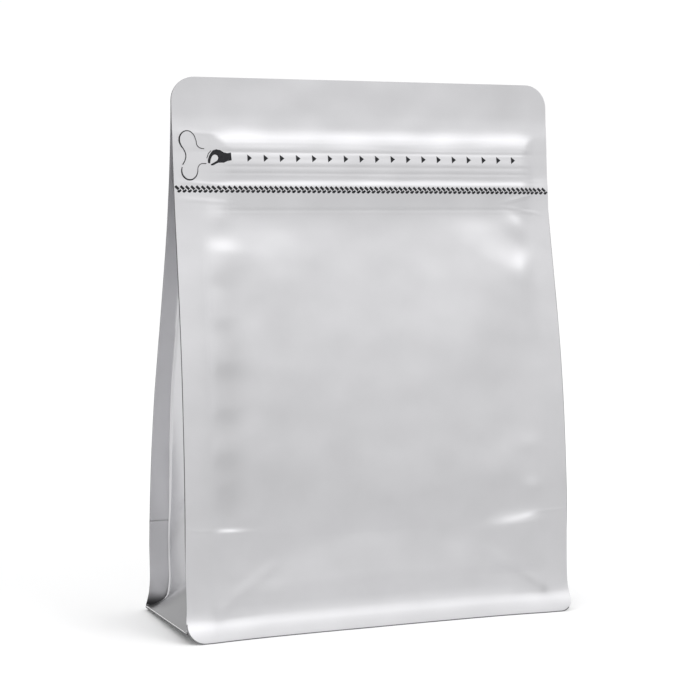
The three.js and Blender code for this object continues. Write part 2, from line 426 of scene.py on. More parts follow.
# Strokes of one group of the tear line: from x, z to x, z, counted from the group's start, then width.
TEAR_STROKES = (
    (0, 1.4, 1.6, -0.1, 1.2),
    (1.15, -0.65, 1.75, -1.35, 1.05),
    (1.5, -1.35, 2.65, -0.3, 1.0),
)
# From one group to the next along x and z, the first one's distance from the edge, and both bare ends.
TEAR_PITCH = 2.472
TEAR_DROP = -0.0075
TEAR_MARGIN = 0.65
TEAR_ENDS = 4.5

# Arrow heads: height, x of one, how many in all and to its left, half height and length.
ARROW_Z = 219.7
ARROW_X = -28.6
ARROW_COUNT = 18
ARROWS_LEFT = 4
ARROW_HALF = 1.7
ARROW_LENGTH = 2.2

# Prints: how far they lie over the film, their thickness, and where they start, well in front of the film.
PRINT_LIFT = 0.05
SIGN_LIFT = 0.07
PRINT_THICKNESS = 0.04
PRINT_START_Y = -60


def in_mm(value):
    return value / MM


def smoothstep(value, low, high):
    share = np.clip((value - low) / (high - low), 0, 1)
    return share * share * (3 - 2 * share)


def mix(a, b, share):
    return a + (b - a) * share


def hump(value, centre, reach):
    """1 at the centre, falling off softly over this reach."""
    return np.exp(-(((value - centre) / reach) ** 2))


def soft_min(a, b, soft):
    """The lesser of two values, with the corner between them rounded."""
    return -soft * np.logaddexp(-a / soft, -b / soft)


class PouchSizes(bpy.types.PropertyGroup):
    """Sizes of the pouch, measured on the panels laid flat or on the foot."""

    panel_width: FloatProperty(
        name="Panel width", description="Front and back panels, edge to edge", default=0.19, unit="LENGTH"
    )
    panel_height: FloatProperty(
        name="Panel height",
        description="Floor to the top edge",
        default=float(CAD_BOX[1][2]),
        unit="LENGTH",
    )
    body_depth: FloatProperty(
        name="Body depth",
        description="Between the panels just above the skirt",
        default=0.075,
        unit="LENGTH",
    )
    lean: FloatProperty(
        name="Lean",
        description="How far the shut top stands in front of the foot's middle",
        default=0.0124,
        unit="LENGTH",
    )
    seal_width: FloatProperty(
        name="Seal width", description="Fins down the four long edges", default=0.010, unit="LENGTH"
    )
    band_width: FloatProperty(
        name="Smooth band",
        description="Flat band of a panel beside its edges",
        default=0.0135,
        unit="LENGTH",
    )
    top_radius: FloatProperty(
        name="Top corner", description="Radius of the top corners", default=0.011, unit="LENGTH"
    )
    film: FloatProperty(
        name="Film",
        description="Thickness of one film, drawn a little heavy",
        default=0.00025,
        unit="LENGTH",
    )
    tear_height: FloatProperty(
        name="Tear line",
        description="Height of the printed tear line's left end",
        default=0.2053,
        unit="LENGTH",
    )
    arrow_pitch: FloatProperty(
        name="Arrow pitch", description="From one printed arrow to the next", default=0.0079, unit="LENGTH"
    )


class PouchColours(bpy.types.PropertyGroup):
    """Colours of the film, the print and the floor."""

    film: FloatVectorProperty(
        name="Film",
        description="Silver of the foil",
        default=(0.679, 0.677, 0.693),
        subtype="COLOR",
        min=0,
        max=1,
    )
    ink: FloatVectorProperty(
        name="Ink",
        description="Black of the print",
        default=(0.018, 0.018, 0.02),
        subtype="COLOR",
        min=0,
        max=1,
    )
    # Also the grey of the dark strips of painted shadow beside the seals.
    cut: FloatVectorProperty(
        name="Cut edge",
        description="Grey of the film's edges",
        default=(0.12, 0.12, 0.125),
        subtype="COLOR",
        min=0,
        max=1,
    )
    floor: FloatVectorProperty(
        name="Floor", description="Pale floor", default=(0.93, 0.93, 0.93), subtype="COLOR", min=0, max=1
    )


def smooth_profile(points, spread):
    """Heights, and the smooth curve over them that follows these points."""
    lowest, highest, step = -5, 262, 0.1
    heights = np.arange(lowest, highest, step)
    level = np.interp(heights, *zip(*points))
    reach = np.arange(-3 * spread, 3 * spread + step / 2, step)
    weight = np.exp(-((reach / spread) ** 2))
    side = len(reach) // 2
    padded = np.pad(level, side, mode="edge")
    return heights, np.convolve(padded, weight / weight.sum(), mode="valid")[: len(heights)]


class PouchForm:
    """The surfaces of the pouch in millimetres, worked out from the sizes."""

    def __init__(self, sizes):
        self.half = in_mm(sizes.panel_width) / 2
        self.height = in_mm(sizes.panel_height)
        self.half_body = in_mm(sizes.body_depth) / 2
        self.lean = in_mm(sizes.lean)
        self.seal = in_mm(sizes.seal_width)
        self.band = in_mm(sizes.band_width)
        self.top_r = in_mm(sizes.top_radius)
        self.film = in_mm(sizes.film)
        self.skirt_top = SKIRT_PROFILE[-1][0]
        self.zip_curve = smooth_profile(ZIP_PROFILE, spread=0.5)
        self.skirt_curve = smooth_profile(SKIRT_PROFILE, spread=0.8)
        self.side_curve = smooth_profile(SIDE_SPREAD, spread=4.0)
        self.front_curve = smooth_profile(FRONT_BOW, spread=12.0)
        self.back_curve = smooth_profile(BACK_BOW, spread=6.0)

    def closing(self, z):
        """How far the top has drawn shut at a height: 0 at the foot, 1 at the top edge."""
        share = np.clip((z - CLOSING_FROM) / (self.height - CLOSING_FROM), 0, 1)
        return (1 - np.cos(np.pi * share**CLOSING_POWER)) / 2

    def half_depth(self, z):
        return mix(self.half_body, TOP_HALF_DEPTH, self.closing(z))

    def middle(self, z):
        return -self.lean * self.closing(z)

    def skirt_out(self, z):
        return np.interp(z, *self.skirt_curve)

    def front_line(self, z):
        """Where the front panel's edges run."""
        return self.middle(z) - self.half_depth(z) - np.interp(z, *self.front_curve) - self.skirt_out(z)

    def back_line(self, z, x=None):
        """Where the back panel runs at x, or at its edges, where the skirt hardly flares."""
        middle_share = 0
        if x is not None:
            outer, inner = BACK_FLARE_FADE
            middle_share = 1 - smoothstep(np.abs(x), self.half - outer, self.half - inner)
        flare = self.skirt_out(z) * mix(*BACK_FLARE_SHARES, middle_share)
        return self.middle(z) + self.half_depth(z) + np.interp(z, *self.back_curve) + flare

    def foot(self, x, radii):
        """Lowest point of a panel at x, with its left and right corner rounded."""
        r = np.where(x < 0, *radii)
        past = np.clip(np.abs(x) - (self.half - r), 0, r)
        return r - np.sqrt(r * r - past * past)

    def top(self, x):
        """Highest point of a panel at x, with its corners rounded."""
        past = np.clip(np.abs(x) - (self.half - self.top_r), 0, self.top_r)
        return self.height - self.top_r + np.sqrt(self.top_r**2 - past**2)

    def corner_inset(self, z, r):
        """How far a panel's rounded lower corner lies inside its straight edge at a height."""
        past = np.clip(r - z, 0, r)
        return r - np.sqrt(r * r - past * past)

    def zip_relief(self, x, z):
        """How far the zip, its tear strip and the loose film under them stand out."""
        stands_out = np.interp(z, *self.zip_curve)
        for level, depth, half_width in ZIP_GROOVES:
            stands_out = stands_out - depth * hump(z, level, half_width)
        left, right = ZIP_ENDS
        left_fade, right_fade = ZIP_FADES
        shown = smoothstep(x, left - left_fade, left + left_fade)
        shown = shown * (1 - smoothstep(x, right - right_fade, right + right_fade))
        shown = mix(ZIP_PAST_ENDS, mix(ZIP_LEFT_SHARE, 1, smoothstep(x, *ZIP_LEFT_X)), shown)
        dome = np.clip(1 - (x / (self.half - self.band)) ** 4, 0, 1)
        stands_out = stands_out * mix(dome, shown, smoothstep(z, *ZIP_FOOT_Z))
        shoulder = np.interp(z + SHOULDER_DROP * (1 - shown), *self.zip_curve)
        shoulder = soft_min(shoulder, SHOULDER_CAP * shown, SHOULDER_SOFT)
        streaked = smoothstep(z, *STREAKS_START_Z) * (1 - smoothstep(z, *STREAKS_STOP_Z))
        streaks = streak_noise(x, z) * shown * streaked
        return mix(stands_out, shoulder, smoothstep(z, *ZIP_SHOULDER_Z)) + streaks

    def pillow(self, x, z):
        """Swell of the back panel between its seals."""
        across = np.clip(1 - (x / (self.half - self.band)) ** 2, 0, 1) ** 0.9
        up = smoothstep(z, self.skirt_top, BACK_SWELL_Z)
        return BACK_SWELL * across * up * (1 - smoothstep(z, BACK_SWELL_Z, BACK_SWELL_TOP))

    def inside_band(self, x, z):
        """1 on the loose part of a panel, 0 on its seals."""
        edge = self.half - self.band
        soft = np.where(x > 0, LOOSE_RIGHT, 1.0)
        across = 1 - smoothstep(np.abs(x), edge - LOOSE_IN * soft, edge + LOOSE_OUT * soft)
        start, stop = LOOSE_FOOT
        return across * smoothstep(z, self.skirt_top + start, self.skirt_top + stop)

    def front_relief(self, x, z):
        """How far the front film stands out from the line of its edges."""
        arch = z - ARCH_CROWN + ARCH_DROP * (x / ARCH_DROP_X) ** 2
        ends = np.clip(1 - (x / ARCH_END_X) ** 4, 0, 1)
        relief = self.zip_relief(x, z) - ARCH_DEPTH * hump(arch, 0, ARCH_HALF_HEIGHT) * ends
        loose = self.inside_band(x, z)
        relief = relief + swells(x, z, FRONT_PUCKERS) * loose + swells(x, z, SEAL_DENTS)
        relief = relief + creases(x, z, FRONT_CREASES)
        relief = relief - SKIRT_TWIST * x / self.half * self.skirt_out(z)
        return relief + soft_noise(x, z, FRONT_SEED) * mix(SEAL_WAVES, 1, loose)

    def back_relief(self, x, z):
        """How far the back film stands out from its line."""
        relief = BACK_ZIP_SHARE * self.zip_relief(-x, z) + self.pillow(x, z)
        loose = self.inside_band(x, z)
        draws = np.random.default_rng(BACK_PUCKER_SEED)
        for side in (-1, 1):
            for level in BACK_PUCKER_LEVELS:
                px = side * (BACK_PUCKER_X + draws.uniform(*BACK_PUCKER_DX))
                pz = level + draws.uniform(*BACK_PUCKER_DZ)
                swell = draws.uniform(*BACK_PUCKER_SWELL)
                turn = draws.uniform(*BACK_PUCKER_TURN)
                relief = relief + swell * dimple(x - px, z - pz, *BACK_PUCKER_SIZE, turn) * loose
        relief = relief + creases(x, z, BACK_CREASES)
        return relief + soft_noise(x, z, BACK_SEED) * mix(SEAL_WAVES, 1, loose)

    def front_y(self, x, z):
        return self.front_line(z) - self.front_relief(x, z)

    def back_y(self, x, z):
        return self.back_line(z, x) + self.back_relief(x, z)

    def spread(self, x, z):
        """Where a place on the flat panel comes to lie: wider at the foot, drawn in at the upper right."""
        rightward = smoothstep(x, RIGHT_FROM_X, self.half)
        push = mix(*FOOT_PUSH, rightward) * (1 - smoothstep(z, *FOOT_PUSH_Z))
        push = push - RIGHT_TUCK * rightward * hump(z, RIGHT_TUCK_Z, RIGHT_TUCK_REACH)
        return x * (1 + np.interp(z, *self.side_curve) / self.half) + push

    def back_flare(self, z):
        """How far the back panel's lower corners turn out to the sides."""
        return BACK_CORNER_OUT * np.clip(1 - z / BACK_CORNER_TOP, 0, 1) ** BACK_CORNER_POWER

    def along_flap(self, ends, s):
        """Goes from the front one of two values to the back one."""
        front, back = ends
        return mix(front, back, (s + 1) / 2)

    def flap_edge(self, s):
        """Height of a side flap's free edge, falling from front to back."""
        return self.along_flap(FLAP_EDGE, s)

    def flap_out(self, s):
        """How far a side flap's free edge stands past the fins."""
        return self.along_flap(FLAP_OUT, s)

    def seal_at(self, z):
        """Width of the fins, a little less further up."""
        return self.seal * mix(1, FIN_SHARE, smoothstep(z, *FIN_NARROWING_Z))

    def fold_depth(self, z):
        """How far a gusset's crease goes in as the panels draw together over it."""
        return np.sqrt(np.maximum(self.half_body**2 - self.half_depth(z) ** 2, 0))

    def wall_inset(self, s, z):
        """How far a gusset's wall, with crease and belly, lies inside the plane of the fins' edges."""
        reach = np.abs(s)
        start = CREASE_START + CREASE_RISE * (1 - reach)
        low, high = CREASE_SOFT
        fold = self.fold_depth(z) * (1 - reach) * smoothstep(z, start + low, start + high)
        belly = BELLY * (1 - s * s) * smoothstep(z, *BELLY_START_Z) * (1 - smoothstep(z, *BELLY_STOP_Z))
        return self.seal_at(z) + fold - belly

    def flap_inset(self, s, z):
        """How far a side flap lies inside that plane, straight at the front and bowed at the back."""
        edge = self.flap_edge(s)
        out = self.flap_out(s)
        rise = np.clip((z - edge) / (self.along_flap(FLAP_TOP, s) - edge), 0, None)
        power = mix(*FLAP_POWER, smoothstep(s, FLAP_POWER_FROM, 1.0))
        return (self.seal + out) * rise**power - out

    def gusset_inset(self, s, z, front_r):
        """How far a gusset lies inside that plane; s is -1 at the front, 1 at the back."""
        reach = np.abs(s)
        bead = hump((1 - reach) * self.half_body, BEAD_FROM_SEAM, BEAD_WIDTH) * smoothstep(z, *BEAD_START_Z)
        bead = bead * mix(*BEAD, smoothstep(z, *BEAD_Z))
        soft = mix(*VALLEY_SOFT, smoothstep(s, VALLEY_SOFT_FROM, 1.0))
        inset = soft_min(self.flap_inset(s, z), self.wall_inset(s, z), soft) - bead
        fin = self.fin_inset(s, z, front_r) + FIN_GAP
        return np.maximum(inset, mix(-MOST_OUT, fin, smoothstep(reach, FIN_GAP_FROM, 1.0)))

    def fin_inset(self, s, z, front_r):
        """How far a fin's free edge lies inside the plane of the fins' edges."""
        front = self.corner_inset(z, front_r)
        back = self.corner_inset(z, BACK_FOOT_R[0]) - self.back_flare(z)
        return np.where(s < 0, front, back)

    def gusset_y(self, s, z):
        front = self.front_line(z) + FLANGE_FILMS * self.film
        back = self.back_line(z) - FLANGE_FILMS * self.film
        return mix(front, back, (s + 1) / 2)


def dimple(dx, dz, width, above, below, turn):
    """A soft swell, turned in the panel's plane, with its own reach above and below its crest."""
    angle = math.radians(turn)
    along = dx * math.cos(angle) + dz * math.sin(angle)
    over = dz * math.cos(angle) - dx * math.sin(angle)
    return np.exp(-((along / width) ** 2) - (over / np.where(over > 0, above, below)) ** 2)


def swells(x, z, table):
    """All the swells of a table together."""
    return sum(swell * dimple(x - px, z - pz, *shape) for px, pz, *shape, swell in table)


def ridge(x, z, x0, z0, x1, z1, width, swell):
    """A crease along a line, fading out at its two ends."""
    length = math.hypot(x1 - x0, z1 - z0)
    ux, uz = (x1 - x0) / length, (z1 - z0) / length
    along = (x - x0) * ux + (z - z0) * uz
    over = (z - z0) * ux - (x - x0) * uz
    fade = min(CREASE_FADE, length / 3)
    ends = smoothstep(along, -fade / 2, fade) * (1 - smoothstep(along, length - fade, length + fade / 2))
    return swell * ends * hump(over, 0, width)


def creases(x, z, table):
    """All the creases of a table together."""
    return sum(ridge(x, z, *crease) for crease in table)


def waves(x, z, height, across, up, seed):
    """Uneven waves in the film of this height, this long across and this long upwards."""
    x, z = np.broadcast_arrays(np.asarray(x, float), np.asarray(z, float))
    places = zip(x.ravel(), z.ravel())
    levels = [height * noise.noise(Vector((px / across, pz / up, seed))) for px, pz in places]
    return np.array(levels).reshape(x.shape)


def soft_noise(x, z, seed):
    """Slow waves in the film, long ones and shorter ones."""
    long_ones = waves(x, z, height=0.32, across=34, up=30, seed=seed)
    return long_ones + waves(x, z, height=0.25, across=15, up=13, seed=seed + 5)


def streak_noise(x, z):
    """Fine uneven lines along the zip's tracks."""
    return waves(x, z, height=0.035, across=28, up=1.3, seed=STREAK_SEED)


def deselect_all():
    if bpy.context.object and bpy.context.object.mode != "OBJECT":
        bpy.ops.object.mode_set(mode="OBJECT")
    bpy.ops.object.select_all(action="DESELECT")


def apply_modifier(ob, kind, **settings):
    """Adds a modifier with these settings and applies it."""
    modifier = ob.modifiers.new(kind.title(), kind)
    for name, value in settings.items():
        setattr(modifier, name, value)
    bpy.context.view_layer.objects.active = ob
    bpy.ops.object.modifier_apply(modifier=modifier.name)


def film_sheet(name, columns, rows, place, painted_shade=None):
    """A grid with one vertex for each column and row, moved to where place puts it, in millimetres.

    Where the last argument is given, it says how far the film's colour is darkened at each vertex: painted
    shade, mostly in tight corners of the film.
    """
    deselect_all()
    across, up = len(columns) - 1, len(rows) - 1
    bpy.ops.mesh.primitive_grid_add(x_subdivisions=across, y_subdivisions=up, size=2)
    ob = bpy.context.object
    ob.name = ob.data.name = name
    flat = np.empty(len(ob.data.vertices) * 3)
    ob.data.vertices.foreach_get("co", flat)
    flat = flat.reshape(-1, 3)
    column = np.rint((flat[:, 0] + 1) / 2 * across).astype(int)
    row = np.rint((flat[:, 1] + 1) / 2 * up).astype(int)
    column, row = np.asarray(columns)[column], np.asarray(rows)[row]
    placed = np.stack(place(column, row), axis=1)
    ob.data.vertices.foreach_set("co", (placed * MM).ravel())
    # Painted shade goes into a vertex attribute that the foil's material reads.
    if painted_shade:
        shade_layer = ob.data.attributes.new("painted_shade", "FLOAT", "POINT")
        shade_layer.data.foreach_set("value", painted_shade(column, placed[:, 2]).astype(np.float32))
    ob.data.update()
    return ob


def finish_film(ob, thickness):
    """Gives a sheet its thickness on the inner side, smooth shading and its finish, with dark cut edges."""
    ob.data.materials.append(film_material())
    ob.data.materials.append(cut_edge_and_shadow_material())
    apply_modifier(ob, "SOLIDIFY", thickness=thickness * MM, offset=-1.0, material_offset_rim=1)
    bpy.ops.object.shade_smooth_by_angle(angle=math.radians(40))
    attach(ob, BODY)
    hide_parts(NODE)


def panel_columns(form, spacing):
    """Places across a panel, closer together round its corners."""
    turns = np.radians(np.linspace(0, 90, 12))
    corner = form.half - form.top_r + form.top_r * np.sin(turns)
    inner = np.linspace(-corner[0], corner[0], int(2 * corner[0] / spacing) + 1)
    return np.concatenate([-corner[:0:-1], inner, corner[1:]])


def panel_rows(form, zip_spacing, spacing):
    """Shares of the height, close together at the skirt, at the folds over the foot and at the zip."""
    fold_low, fold_high, zip_low, zip_high = 44, 53, 192, 236
    levels = [
        np.arange(0, form.skirt_top, 0.7),
        np.arange(form.skirt_top, fold_low, spacing),
        np.arange(fold_low, fold_high, 0.45),
        np.arange(fold_high, zip_low, spacing),
        np.arange(zip_low, zip_high, zip_spacing),
        np.linspace(zip_high, form.height, 16),
    ]
    return np.concatenate(levels) / form.height


class POUCH_OT_front_panel(bpy.types.Operator):
    """Front panel with its seals, zip, puckers and skirt"""

    bl_idname = "pouch.front_panel"
    bl_label = "Front panel"

    def execute(self, context):
        form = PouchForm(context.scene.pouch_sizes)

        def place(x, share):
            z = mix(form.foot(x, FRONT_FOOT_R), form.top(x), share)
            return form.spread(x, z), form.front_y(x, z), z

        def painted_shade(x, z):
            """Painted shade: the film's colour is darkened a little all over, and more beside the left seal
            and at the header's and the foot's ends.
            """
            header_end = smoothstep(z, *HEADER_DARK_Z) * smoothstep(np.abs(x), *HEADER_DARK_X)
            left = hump(x, LEFT_DARK_X, LEFT_DARK_WIDTH)
            left = left * smoothstep(z, *LEFT_DARK_START_Z) * (1 - smoothstep(z, *LEFT_DARK_STOP_Z))
            return FRONT_DARK + HEADER_DARK * header_end + LEFT_DARK * left + swells(x, z, FRONT_PAINTED_SHADES)

        columns = panel_columns(form, spacing=1.35)
        rows = panel_rows(form, zip_spacing=0.5, spacing=1.4)
        finish_film(film_sheet("front_panel", columns, rows, place, painted_shade), form.film)
        return {"FINISHED"}


class POUCH_OT_back_panel(bpy.types.Operator):
    """Back panel with its seals, puckers and skirt"""

    bl_idname = "pouch.back_panel"
    bl_label = "Back panel"

    def execute(self, context):
        form = PouchForm(context.scene.pouch_sizes)

        def place(x, share):
            z = mix(form.foot(x, BACK_FOOT_R), form.top(x), share)
            at_corner = smoothstep(np.abs(x), form.half - BACK_CORNER_WIDTH, form.half)
            flare = x / form.half * form.back_flare(z) * at_corner
            return form.spread(x, z) + flare, form.back_y(x, z), z

        columns = panel_columns(form, spacing=1.8)[::-1]
        rows = panel_rows(form, zip_spacing=0.9, spacing=1.8)
        finish_film(film_sheet("back_panel", columns, rows, place), form.film)
        return {"FINISHED"}


class POUCH_OT_gussets(bpy.types.Operator):
    """Side gussets, each with its crease, its two seal flanges and its flap at the foot"""

    bl_idname = "pouch.gussets"
    bl_label = "Side gussets"

    def execute(self, context):
        form = PouchForm(context.scene.pouch_sizes)
        for side, sign, front_r in SIDES:
            self.one_gusset(form, side + "_gusset", sign, front_r)
        return {"FINISHED"}

    def columns(self, form):
        """Run over the front flange from -2 to -1, the gusset to 1, and the back flange to 2."""
        wall = np.sin(np.linspace(-1, 1, 61) * math.pi / 2)
        crease = np.array([-0.12, -0.09, -0.07, -0.055, -0.042, -0.03, -0.02, -0.01])
        wall = np.concatenate([wall[np.abs(wall) > 0.13], crease, [0], -crease])
        seam = 1 - np.arange(0.15, 2.4, 0.2) / form.half_body
        wall = np.unique(np.concatenate([wall, seam, -seam]))
        return np.concatenate([np.linspace(-2, -1, 8)[:-1], wall, np.linspace(1, 2, 8)[1:]])

    def rows(self, upper):
        """Shares of the height, close together at the flap and at the fold across the back fin."""
        levels = [
            np.linspace(0, 1.5, 10),
            np.linspace(1.8, 13, 30),
            np.arange(13.6, 41, 1.0),
            np.arange(41, 46, 0.2),
            np.linspace(46.5, upper, 130),
        ]
        return np.concatenate(levels) / upper

    def painted_shade(self, form, column, z):
        """Painted shade: the film's colour is darkened at the back fin's foot and fold, over the crease and
        on the flap.
        """
        s = np.clip(column, -1, 1)
        reach = np.abs(column)
        slow = (1 - smoothstep(z, *FIN_FOOT_SLOW_Z)) ** FIN_FOOT_SLOW_POWER
        quick = 1 - smoothstep(z, *FIN_FOOT_QUICK_Z)
        fin_fold_shade = FIN_FOLD_DARK * hump(z, BACK_FOLD_Z, FIN_FOLD_WIDTH)
        fin_shade = (FIN_FOOT_DARK * (slow + quick) + fin_fold_shade) * smoothstep(column, FIN_FROM, 1.0)
        crease_z = CREASE_START - CREASE_DARK_DROP + CREASE_RISE * (1 - np.abs(s))
        crease_shade = CREASE_DARK * hump(z, crease_z, CREASE_DARK_HEIGHT) * (reach < FIN_FROM)
        below = z - form.along_flap(FLAP_VALLEY, s)
        valley = hump(below, 0, VALLEY_HEIGHT)
        flap_shade = (VALLEY_DARK * valley + FLAP_DARK * (below < 0) * (1 - valley)) * (reach < 1)
        corner_shade = smoothstep(column, CORNER_DARK_FROM, FIN_FROM) * (1 - smoothstep(z, *CORNER_DARK_Z))
        shade = crease_shade + flap_shade + CORNER_DARK * corner_shade
        return np.maximum(fin_shade, np.minimum(shade, 1))

    def one_gusset(self, form, name, sign, front_r):
        upper = form.height - form.top_r

        def place(column, share):
            s = np.clip(column, -1, 1)
            flange = np.clip(np.abs(column) - 1, 0, 1)
            z = mix(form.flap_edge(s) + FLANGE_LIFT * flange * (s > 0), upper, share)
            inset = mix(form.gusset_inset(s, z, front_r), form.fin_inset(s, z, front_r), flange)
            wave = WAVE_SHARE * soft_noise(s * WAVE_WIDTH, z, GUSSET_SEED + sign)
            wave = wave * (1 - s**4) * smoothstep(z, *WAVE_START_Z)
            fold_line = FOLD_LINE * hump(z, BACK_FOLD_Z, FOLD_LINE_WIDTH) * smoothstep(column, 1.0, 1.15)
            x = form.spread(sign * form.half, z) + sign * (wave - inset)
            return x, form.gusset_y(s, z) + fold_line, z

        def painted_shade(column, z):
            return self.painted_shade(form, column, z)

        ob = film_sheet(name, self.columns(form)[::sign], self.rows(upper), place, painted_shade)
        finish_film(ob, form.film)


class POUCH_OT_seam_edges(bpy.types.Operator):
    """Layered cut edges of the seals, down the front fins, along the front foot and the side flaps, with
    painted shadow in the gaps and a painted highlight on the flaps' pale edges
    """

    bl_idname = "pouch.seam_edges"
    bl_label = "Seam edges"

    def execute(self, context):
        form = PouchForm(context.scene.pouch_sizes)
        self.foot_edge(form)
        for side, sign, front_r in SIDES:
            self.fin_edge(form, side + "_fin_edge_and_shadow", sign, front_r)
            # Pale strip: the pale inner film with a painted highlight; dark strip under it: painted shadow
            # of the gap.
            self.flap_strip(form, side + "_flap_edge", sign, PALE_EDGE, PALE_EDGE_OUT, pale_edge_and_highlight_material())
            self.flap_strip(form, side + "_flap_gap_shadow", sign, FLAP_GAP_SHADOW, FLAP_GAP_SHADOW_OUT, cut_edge_and_shadow_material())
        return {"FINISHED"}

    def finish(self, ob, material):
        ob.data.materials.append(material)
        apply_modifier(ob, "SOLIDIFY", thickness=EDGE_THICKNESS * MM, offset=0.0)
        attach(ob, BODY)

    def fin_edge(self, form, name, sign, front_r):
        """A dark strip between the front panel and the gusset's flange, a little past both: the cut edge
        with a painted shadow of the gap.
        """
        levels = np.linspace(FIN_EDGE_FROM, form.height - form.top_r, 110)

        def place(share, z):
            strip = smoothstep(z, *FIN_EDGE_START_Z)
            strip = strip * (1 - FIN_EDGE_LOSS * smoothstep(z, *FIN_EDGE_LOSS_Z))
            inset = form.corner_inset(z, front_r) + mix(*FIN_EDGE, share) * strip
            x = form.spread(sign * form.half, z) - sign * inset
            return x, form.front_line(z) + FIN_EDGE_FILMS * form.film, z

        columns = np.array([0.0, 0.5, 1.0])[::-sign]
        self.finish(film_sheet(name, columns, levels, place), cut_edge_and_shadow_material())

    def foot_edge(self, form):
        """A dark strip, the cut edge with a painted contact shadow, that runs round the left lower corner
        of the front panel, along its foot and into the right one.
        """
        left_r, right_r = FRONT_FOOT_R
        turns, steps = 14, 90
        turn = np.radians(np.linspace(0, 90, turns))
        foot = np.linspace(left_r - form.half, form.half - right_r, steps)
        straight = np.zeros(steps - 2)
        centre_x = np.concatenate([np.full(turns, foot[0]), foot[1:-1], np.full(turns, foot[-1])])
        radius = np.concatenate([np.full(turns, left_r), straight, np.full(turns, right_r)])
        aside = np.concatenate([-np.cos(turn), straight, np.sin(turn / 2)])
        down = np.concatenate([np.sin(turn), straight + 1, np.cos(turn / 2)])

        def place(step, inside):
            at = step.astype(int)
            x = centre_x[at] + aside[at] * (radius[at] - inside)
            z = radius[at] - down[at] * (radius[at] - inside)
            return form.spread(x, z), form.front_y(x, z) - FOOT_EDGE_OUT, z

        ob = film_sheet("front_foot_edge_and_shadow", np.arange(len(centre_x)), np.array(FOOT_EDGE), place)
        self.finish(ob, cut_edge_and_shadow_material())

    def flap_strip(self, form, name, sign, heights, out, material):
        """A strip along a side flap, between two heights over its free edge and this far out from it."""

        def place(s, share):
            z = form.flap_edge(s)
            x = form.spread(sign * form.half, z) + sign * (form.flap_out(s) + out)
            return x, form.gusset_y(s, z), z + mix(*heights, share)

        along = np.linspace(-0.98, 1, 40)[::sign]
        self.finish(film_sheet(name, along, np.array([0.0, 1.0]), place), material)


class POUCH_OT_bottom_panel(bpy.types.Operator):
    """Bottom panel, set up inside the skirt, with its fold and its sealed rim"""

    bl_idname = "pouch.bottom_panel"
    bl_label = "Bottom panel"

    def execute(self, context):
        form = PouchForm(context.scene.pouch_sizes)
        corner_x = form.half - BOTTOM_CORNER
        front_gap, back_gap = BOTTOM_GAPS
        front_end = form.front_line(BOTTOM_MEETS_Z) + front_gap
        back_end = form.back_line(BOTTOM_MEETS_Z) - back_gap

        def rim_place(u, v):
            """The sealed edge: under the flaps at the sides, inside the skirt at the front and the back."""
            to_corner = smoothstep(np.abs(v), RIM_CORNER_FROM, 1.0)
            at_side = np.abs(u) > np.abs(v)
            side_x = np.sign(u) * mix(form.half + RIM_OUT + v, corner_x, to_corner)
            x = np.where(at_side, side_x, u * corner_x)
            skirt_foot = np.where(v < 0, form.foot(x, FRONT_FOOT_R), form.foot(x, BACK_FOOT_R))
            skirt_foot = skirt_foot + RIM_OVER_FOOT
            side_z = mix(form.flap_edge(v) - RIM_UNDER_FLAP, skirt_foot, to_corner)
            z = np.maximum(np.where(at_side, side_z, skirt_foot), RIM_LOWEST)
            front = form.front_y(x, z) + RIM_FILMS * form.film
            back = form.back_y(x, z) - RIM_FILMS * form.film
            return x, mix(front, back, (v + 1) / 2), z

        def place(u, v):
            ring = np.maximum(np.abs(u), np.abs(v))
            rim = np.clip((ring - RIM_FROM) / (1 - RIM_FROM), 0, 1)
            flat_u = u / np.maximum(ring, RIM_FROM)
            flat_v = v / np.maximum(ring, RIM_FROM)
            edge_x, edge_y, edge_z = rim_place(flat_u, flat_v)
            fold = BOTTOM_FOLD * hump(flat_v, 0, BOTTOM_FOLD_WIDTH)
            inner_x = flat_u * (form.half - BOTTOM_SIDE)
            inner_y = mix(front_end, back_end, (flat_v + 1) / 2)
            inner_z = BOTTOM_Z + (fold + 1 - ring**2) * (1 - rim)
            z = mix(inner_z, edge_z, 1 - (1 - rim) ** 3)
            return mix(inner_x, edge_x, rim), mix(inner_y, edge_y, rim), z

        rim_steps = np.linspace(RIM_FROM, 1, 9)[1:]
        steps = np.concatenate([-rim_steps[::-1], np.linspace(-RIM_FROM, RIM_FROM, 81), rim_steps])
        finish_film(film_sheet("bottom_panel", steps, steps[::-1], place), form.film)
        return {"FINISHED"}


def lay_on_front(ob, lift):
    """Presses a flat print on to the front panel and gives it its thickness and its ink."""
    apply_modifier(
        ob,
        "SHRINKWRAP",
        target=bpy.data.objects["front_panel"],
        wrap_method="PROJECT",
        use_project_y=True,
        use_negative_direction=True,
        use_positive_direction=True,
        wrap_mode="ABOVE_SURFACE",
        offset=lift * MM,
    )
    apply_modifier(ob, "SOLIDIFY", thickness=PRINT_THICKNESS * MM, offset=-1.0)
    ob.data.materials.append(ink_material())
    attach(ob, BODY)


def stroke_corners(start, end, width):
    """Four corners of a straight stroke of the print."""
    start, end = Vector(start), Vector(end)
    aside = (end - start).orthogonal().normalized() * width / 2
    return [start - aside, end - aside, end + aside, start + aside]


